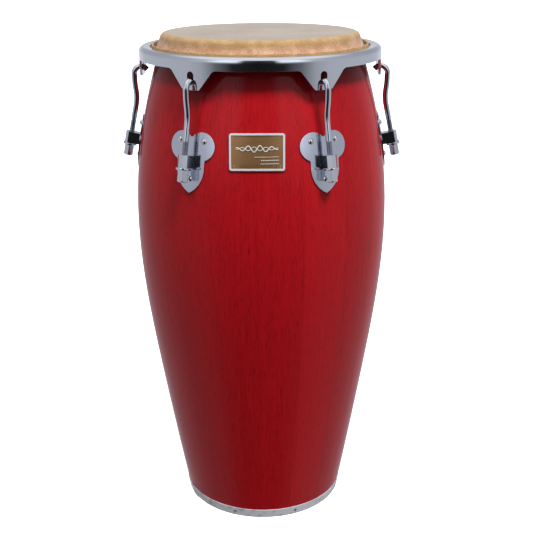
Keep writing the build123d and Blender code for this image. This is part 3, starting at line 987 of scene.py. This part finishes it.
def hook_mesh():
    """The rod above its thread, drawn and bent on from there up to its tip."""
    bm = bmesh.new()
    edges = rod_start(bm, thread_top)
    bmesh.ops.contextual_create(bm, geom=edges)
    straight = (jog_low - thread_top).length - low_tangent
    edges = draw_on(bm, edges, rod_up * straight)
    place = thread_top + rod_up * straight
    turn = -rod_up.angle(climb) if climb.x > rod_up.x else rod_up.angle(climb)
    edges = bend(bm, edges, place, rod_up, jog_low_round, turn, 8)
    place = jog_low + climb * low_tangent
    travel = climb * ((jog_high - jog_low).length - low_tangent - high_tangent)
    edges = draw_on(bm, edges, travel)
    place = place + travel
    turn = climb.angle(plumb) if climb.x > 0 else -climb.angle(plumb)
    edges = bend(bm, edges, place, climb, jog_high_round, turn, 8)
    place = jog_high + plumb * high_tangent
    edges = draw_on(bm, edges, leg_top - place)
    edges = bend(bm, edges, leg_top, plumb, hook_bend, hook_curl, 18)
    heading = Vector((-math.sin(hook_curl), 0, math.cos(hook_curl)))
    edges = draw_on(bm, edges, heading * hook_tail)
    bmesh.ops.contextual_create(bm, geom=edges)
    bmesh.ops.recalc_face_normals(bm, faces=bm.faces)
    tip = max(bm.faces, key=lambda f: len(f.verts) * 10 - f.calc_center_median().x)
    round_edges(bm, list(tip.edges), hook_tip_round, 3)
    return bm


def thread_mesh():
    """A thread cut as one is: its profile turned up a helix, one pitch for each turn."""
    bm = bmesh.new()
    root = thread_radius - thread_depth
    profile = [Vector((root, 0, 0))]
    for turn in range(int(thread_length / thread_pitch) - 1):
        low = (turn + thread_rise) * thread_pitch
        profile += [
            Vector((thread_radius, 0, low)),
            Vector((thread_radius, 0, low + thread_crest * thread_pitch)),
            Vector((root, 0, low + thread_fall * thread_pitch)),
        ]
    profile.append(Vector((root, 0, thread_length)))
    line = chain(bm, profile)
    bmesh.ops.spin(
        bm,
        geom=[*bm.verts, *line],
        cent=(0, 0, 0),
        axis=(0, 0, 1),
        dvec=(0, 0, thread_pitch / rod_steps),
        angle=math.tau,
        steps=rod_steps,
    )
    bmesh.ops.remove_doubles(bm, verts=bm.verts, dist=1e-5)
    bmesh.ops.holes_fill(bm, edges=[e for e in bm.edges if e.is_boundary], sides=0)
    bmesh.ops.recalc_face_normals(bm, faces=bm.faces)
    bmesh.ops.transform(bm, matrix=along_rod(rod_end), verts=bm.verts)
    return bm


for index in range(lug_count):
    to_lug = Matrix.Rotation(lug_turn(index), 3, "Z")
    name = f"hook_{index + 1}"
    for make, part, material in (
        (hook_mesh, "rod", rod_chrome),
        (thread_mesh, "thread", thread_chrome),
    ):
        bm = make()
        bmesh.ops.rotate(bm, verts=bm.verts, matrix=to_lug)
        piece(bm, f"{name}_{part}", name, [material], [name])

# ---- Tuning nuts -----------------------------------------------------------------------
# Each nut is turned from hexagon bar with a round flange on top, which bears up against
# the bracket. Its far end is rounded off so that it can't catch a hand or a trouser leg.

nut_flange = 0.0098
nut_flange_height = 0.0032
nut_flats = 0.013
nut_length = 0.019
nut_bore = 0.00398
nut_columns = 48
nut_end_round = 0.0028
flange_edge_round = 0.0008
bore_chamfer = 0.0005
nut_corner = nut_flats / math.sqrt(3)

# Turned steel takes the plating smoothly: bright flats between crisp dark edges.
nut_chrome = chrome("turned nut chrome", "#e2e5ec", "#d0d4dd", 0.06, 0.06)


def nut_mesh():
    """A turned blank, with six flats milled on it below its flange."""
    bm = bmesh.new()
    end_round = arc(
        Vector((nut_corner - nut_end_round, 0, nut_end_round - nut_length)),
        nut_end_round,
        0,
        -math.pi / 2,
        7,
    )
    flange_edge = nut_flange - flange_edge_round
    half = [
        Vector((nut_bore, 0, 0)),
        *arc(
            Vector((flange_edge, 0, -flange_edge_round)), flange_edge_round, math.pi / 2, 0, 4
        ),
        *arc(
            Vector((flange_edge, 0, flange_edge_round - nut_flange_height)),
            flange_edge_round,
            0,
            -math.pi / 2,
            4,
        ),
        Vector((nut_corner, 0, -nut_flange_height)),
        *end_round,
        Vector((nut_bore + bore_chamfer, 0, -nut_length)),
        Vector((nut_bore, 0, bore_chamfer - nut_length)),
    ]
    spin(bm, chain(bm, half, closed=True), math.tau, nut_columns)
    for v in bm.verts:
        distance = v.co.xy.length
        if v.co.z < -nut_flange_height + 1e-5 and nut_bore + 0.001 < distance < nut_corner + 1e-5:
            turn = math.atan2(v.co.y, v.co.x) % (math.pi / 3) - math.pi / 6
            flat = min(nut_flats / 2 / math.cos(turn), 0.985 * nut_corner)
            if distance > flat:
                v.co.xy *= flat / distance
    bmesh.ops.remove_doubles(bm, verts=bm.verts, dist=1e-6)
    bmesh.ops.recalc_face_normals(bm, faces=bm.faces)
    bmesh.ops.transform(bm, matrix=along_rod(nut_top), verts=bm.verts)
    return bm


for index in range(lug_count):
    bm = nut_mesh()
    bmesh.ops.rotate(bm, verts=bm.verts, matrix=Matrix.Rotation(lug_turn(index), 3, "Z"))
    name = f"nut_{index + 1}"
    piece(bm, f"turned_{name}", name, [nut_chrome], [f"tuning_{name}"], 28)

# ---- Badge -----------------------------------------------------------------------------
# A bronze-coloured sheet in a raised chrome frame is pinned to the front of the shell with
# four brass pins. It carries a plain ornament: a wave between two rules and a row of beads.

badge_low, badge_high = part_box("badge_face")
badge_height = (badge_low.z + badge_high.z) / 2
badge_sheet_thickness = 0.0012
badge_brush = Vector((0.025, 0.025, 0.00055))
badge_patina = 0.022
wave_half_length = 0.027
wave_fade = 0.03
wave_turns_per_metre = 420
wave_height = 0.0042
wave_line = 0.0015
echo_line = 0.0010
echo_share = 0.6
rule_line = 0.0007
rule_end = 0.028
rules = ((-0.004, -0.0062), (0.004, -0.0148))
bead_radius = 0.0009
bead_start = Vector((0.006, 0, -0.0105))
bead_step = Vector((0.0026, 0, 0))
bead_count = 9
ornament_rise = 0.0006

# Satin chrome on the cast frame and on the ornament: pale silver, without a clear mirror.
badge_chrome = chrome("satin badge frame chrome", "#dfe1e4", "#cfd1d5", 0.42, 0.10, 0.35)
ornament_chrome = chrome("satin ornament chrome", "#e4e2da", "#d2d0c8", 0.30, 0.06, 0.4)
# Brushed bronze-brown lacquer on the sheet, satin, brushed along its length.
badge_bronze, shader = finish(
    "brushed badge bronze", {"Metallic": 0.75, "Roughness": 0.36}
)
place = add(badge_bronze, "TexCoord").outputs["Object"]
brush_place = add(
    badge_bronze, "Mapping", {"Vector": place, "Scale": [1 / size for size in badge_brush]}
)
brush = add(
    badge_bronze, "TexNoise", {"Vector": brush_place.outputs[0], "Scale": 1.0, "Detail": 3}
)
patina = add(badge_bronze, "TexNoise", {"Vector": place, "Scale": 1 / badge_patina, "Detail": 3})
brown = add(
    badge_bronze,
    "Mix",
    {"Factor": patina.outputs["Fac"], "A": linear("#8a6440"), "B": linear("#a67c52")},
    data_type="RGBA",
)
bronze_tone = add(
    badge_bronze,
    "Mix",
    {"Factor": brush.outputs["Fac"], "A": brown.outputs["Result"], "B": linear("#b78d60")},
    data_type="RGBA",
)
feed(badge_bronze, shader, "Base Color", bronze_tone.outputs["Result"])
brushed = add(
    badge_bronze, "Bump", {"Height": brush.outputs["Fac"], "Strength": 0.2, "Distance": 0.0001}
)
feed(badge_bronze, shader, "Normal", brushed.outputs[0])
# Small brass pins, hammered over: yellow, with a brown tarnish in patches.
pin_brass = marked_metal("badge pin brass", 0.25, "#a58a4e", "#e8d69a", mark=0.0014)

give("badge_pins", pin_brass)
give("badge_face", badge_bronze)
give("badge_frame", badge_chrome)
for node, edge in (("badge_face", 0.0003), ("badge_frame", 0.0009)):
    add_modifier(frame["nodes"][node], "WELD", merge_threshold=1e-6)
    soften(frame["nodes"][node], edge)


def inlay(bm, points, width):
    """A flat raised strip along points of the badge: x across it and z up it, both from
    its middle."""
    rails = []
    for side in (-1, 1):
        rail = []
        for here, there in zip(points, [*points[1:], 2 * points[-1] - points[-2]]):
            along = (there - here).normalized()
            rail.append(here + Vector((-along.z, 0, along.x)) * side * width / 2)
        rails.append(chain(bm, rail))
    bmesh.ops.bridge_loops(bm, edges=[*rails[0], *rails[1]])


bm = bmesh.new()
wave = []
for x in np.linspace(-wave_half_length, wave_half_length, 90):
    swing = math.sin(x * wave_turns_per_metre) * (1 - (x / wave_fade) ** 2)
    wave.append(Vector((x, 0, wave_height + wave_height * swing)))
inlay(bm, wave, wave_line)
echo = [Vector((p.x, 0, wave_height - echo_share * (p.z - wave_height))) for p in wave]
inlay(bm, echo, echo_line)
for left, up in rules:
    inlay(bm, [Vector((x, 0, up)) for x in np.linspace(left, rule_end, 20)], rule_line)
for bead in range(bead_count):
    center = bead_start + bead * bead_step
    made = bmesh.ops.create_circle(bm, cap_ends=True, segments=12, radius=bead_radius)
    bmesh.ops.rotate(
        bm, verts=made["verts"], matrix=Matrix.Rotation(math.pi / 2, 3, "X")
    )
    bmesh.ops.translate(bm, verts=made["verts"], vec=center)
for v in bm.verts:
    v.co = lug_point(front, badge_height, v.co.x, v.co.z, badge_sheet_thickness)
bm.normal_update()
for face in bm.faces:
    if face.normal.y > 0:
        face.normal_flip()
ornament = piece(bm, "badge_ornament", "shell", [ornament_chrome], [])
add_modifier(ornament, "SOLIDIFY", thickness=ornament_rise, offset=1.0)

# ---- Studio ----------------------------------------------------------------------------
# A white floor lit from below, a sky that is brighter above than below, two broad lamps
# from the front, and walls that mirrors alone see: dark in front, with a bright strip on
# either side of that higher up, and gray at the sides.

floor_mottle = 0.33
floor_white, shader = finish(
    "back-lit studio floor",
    {"Roughness": 0.9, "Emission Color": (1.0, 1.0, 1.0, 1.0), "Emission Strength": 0.62},
)
place = add(floor_white, "TexCoord").outputs["Object"]
faint = add(floor_white, "TexNoise", {"Vector": place, "Scale": 1 / floor_mottle, "Detail": 2})
floor_tone = add(
    floor_white,
    "Mix",
    {"Factor": faint.outputs["Fac"], "A": linear("#f4f4f4"), "B": linear("#f8f8f8")},
    data_type="RGBA",
)
feed(floor_white, shader, "Base Color", floor_tone.outputs["Result"])
bm = bmesh.new()
bmesh.ops.create_grid(bm, x_segments=8, y_segments=8, size=30)
sweep = bpy.data.meshes.new("floor")
bm.to_mesh(sweep)
bm.free()
sweep.materials.append(floor_white)
floor = bpy.data.objects.new("floor", sweep)
bpy.context.scene.collection.objects.link(floor)
floor.visible_glossy = False
floor.visible_diffuse = False

world = bpy.data.worlds.new("studio")
world.use_nodes = True
world.node_tree.nodes.clear()
look = add(world, "TexCoord").outputs["Generated"]
xyz = add(world, "SeparateXYZ", {0: look})
level = add(world, "Mapping", {"Vector": look, "Scale": (1, 1, 0)})
reach = add(world, "VectorMath", {0: level.outputs[0]}, operation="LENGTH")
ahead = add(
    world, "Math", {0: xyz.outputs["Y"], 1: reach.outputs["Value"]}, operation="DIVIDE"
)
behind = add(world, "Math", {0: ahead.outputs[0], 1: -1.0}, operation="MULTIPLY")
away = add(world, "Math", {0: behind.outputs[0]}, operation="ARCCOSINE")
share = add(world, "Math", {0: away.outputs[0], 1: math.pi}, operation="DIVIDE")
# brightness of the studio's walls as mirrors see them, from the front round to the back:
# below eye level, then above it
walls = []
for stops in (
    (
        (0.00, 0.010), (0.13, 0.016), (0.17, 0.075), (0.22, 0.15),
        (0.30, 0.42), (0.38, 0.50), (0.75, 0.56), (1.00, 0.90),
    ),
    (
        (0.00, 0.020), (0.08, 0.060), (0.12, 1.10), (0.21, 1.20),
        (0.29, 0.60), (0.40, 0.48), (0.80, 0.42), (1.00, 0.50),
    ),
):
    wall = add(world, "ValToRGB", {"Fac": share.outputs[0]})
    ramp = wall.color_ramp.elements
    while len(ramp) < len(stops):
        ramp.new(0.5)
    for stop, (place, level) in zip(ramp, stops):
        stop.position = place
        stop.color = (level * 0.94, level * 0.975, level * 1.06, 1.0)
    walls.append(wall.outputs["Color"])
above = add(world, "MapRange", {0: xyz.outputs["Z"], 1: -0.10, 2: 0.25})
walled = add(
    world,
    "Mix",
    {"Factor": above.outputs[0], "A": walls[0], "B": walls[1]},
    data_type="RGBA",
)
overhead = add(world, "MapRange", {0: xyz.outputs["Z"], 1: 0.62, 2: 0.85})
mirrored = add(
    world,
    "Mix",
    {"Factor": overhead.outputs[0], "A": walled.outputs["Result"], "B": (0.9, 0.9, 0.9, 1.0)},
    data_type="RGBA",
)
sky = add(world, "MapRange", {0: xyz.outputs["Z"], 1: -0.05, 2: 0.55, 3: 0.09, 4: 0.64})
path = add(world, "LightPath")
plain = add(
    world, "Math", {0: sky.outputs[0], 1: path.outputs["Is Camera Ray"]}, operation="MAXIMUM"
)
seen = add(
    world,
    "Mix",
    {
        "Factor": path.outputs["Is Glossy Ray"],
        "A": plain.outputs[0],
        "B": mirrored.outputs["Result"],
    },
    data_type="RGBA",
)
background = add(world, "Background", {"Color": seen.outputs["Result"], "Strength": 1.0})
add(world, "OutputWorld", {"Surface": background.outputs[0]})
bpy.context.scene.world = world


# name, where it shines from, strength
for name, source, strength in (
    ("right_lamp", (0.8, -0.95, 2.0), 3.4),
    ("left_lamp", (-0.8, -1.0, 2.0), 1.3),
):
    sun = bpy.data.lights.new(name, "SUN")
    sun.energy = strength
    sun.angle = math.radians(16)
    lamp = bpy.data.objects.new(name, sun)
    bpy.context.scene.collection.objects.link(lamp)
    lamp.rotation_euler = (-Vector(source)).to_track_quat("-Z", "Y").to_euler()
    lamp.visible_glossy = False

bpy.context.scene.view_settings.view_transform = "Standard"

eye_place = (0.0412, -1.3568, 0.8328)
eye_turn, eye_pitch, eye_roll = (math.radians(a) for a in (1.45, 70.885, -0.359))
camera = bpy.data.cameras.new("camera")
camera.sensor_width = 36.0
camera.lens = 63.99
eye = bpy.data.objects.new("camera", camera)
bpy.context.scene.collection.objects.link(eye)
eye.matrix_world = (
    Matrix.Translation(eye_place)
    @ Matrix.Rotation(eye_turn, 4, "Z")
    @ Matrix.Rotation(eye_pitch, 4, "X")
    @ Matrix.Rotation(eye_roll, 4, "Z")
)
bpy.context.scene.camera = eye
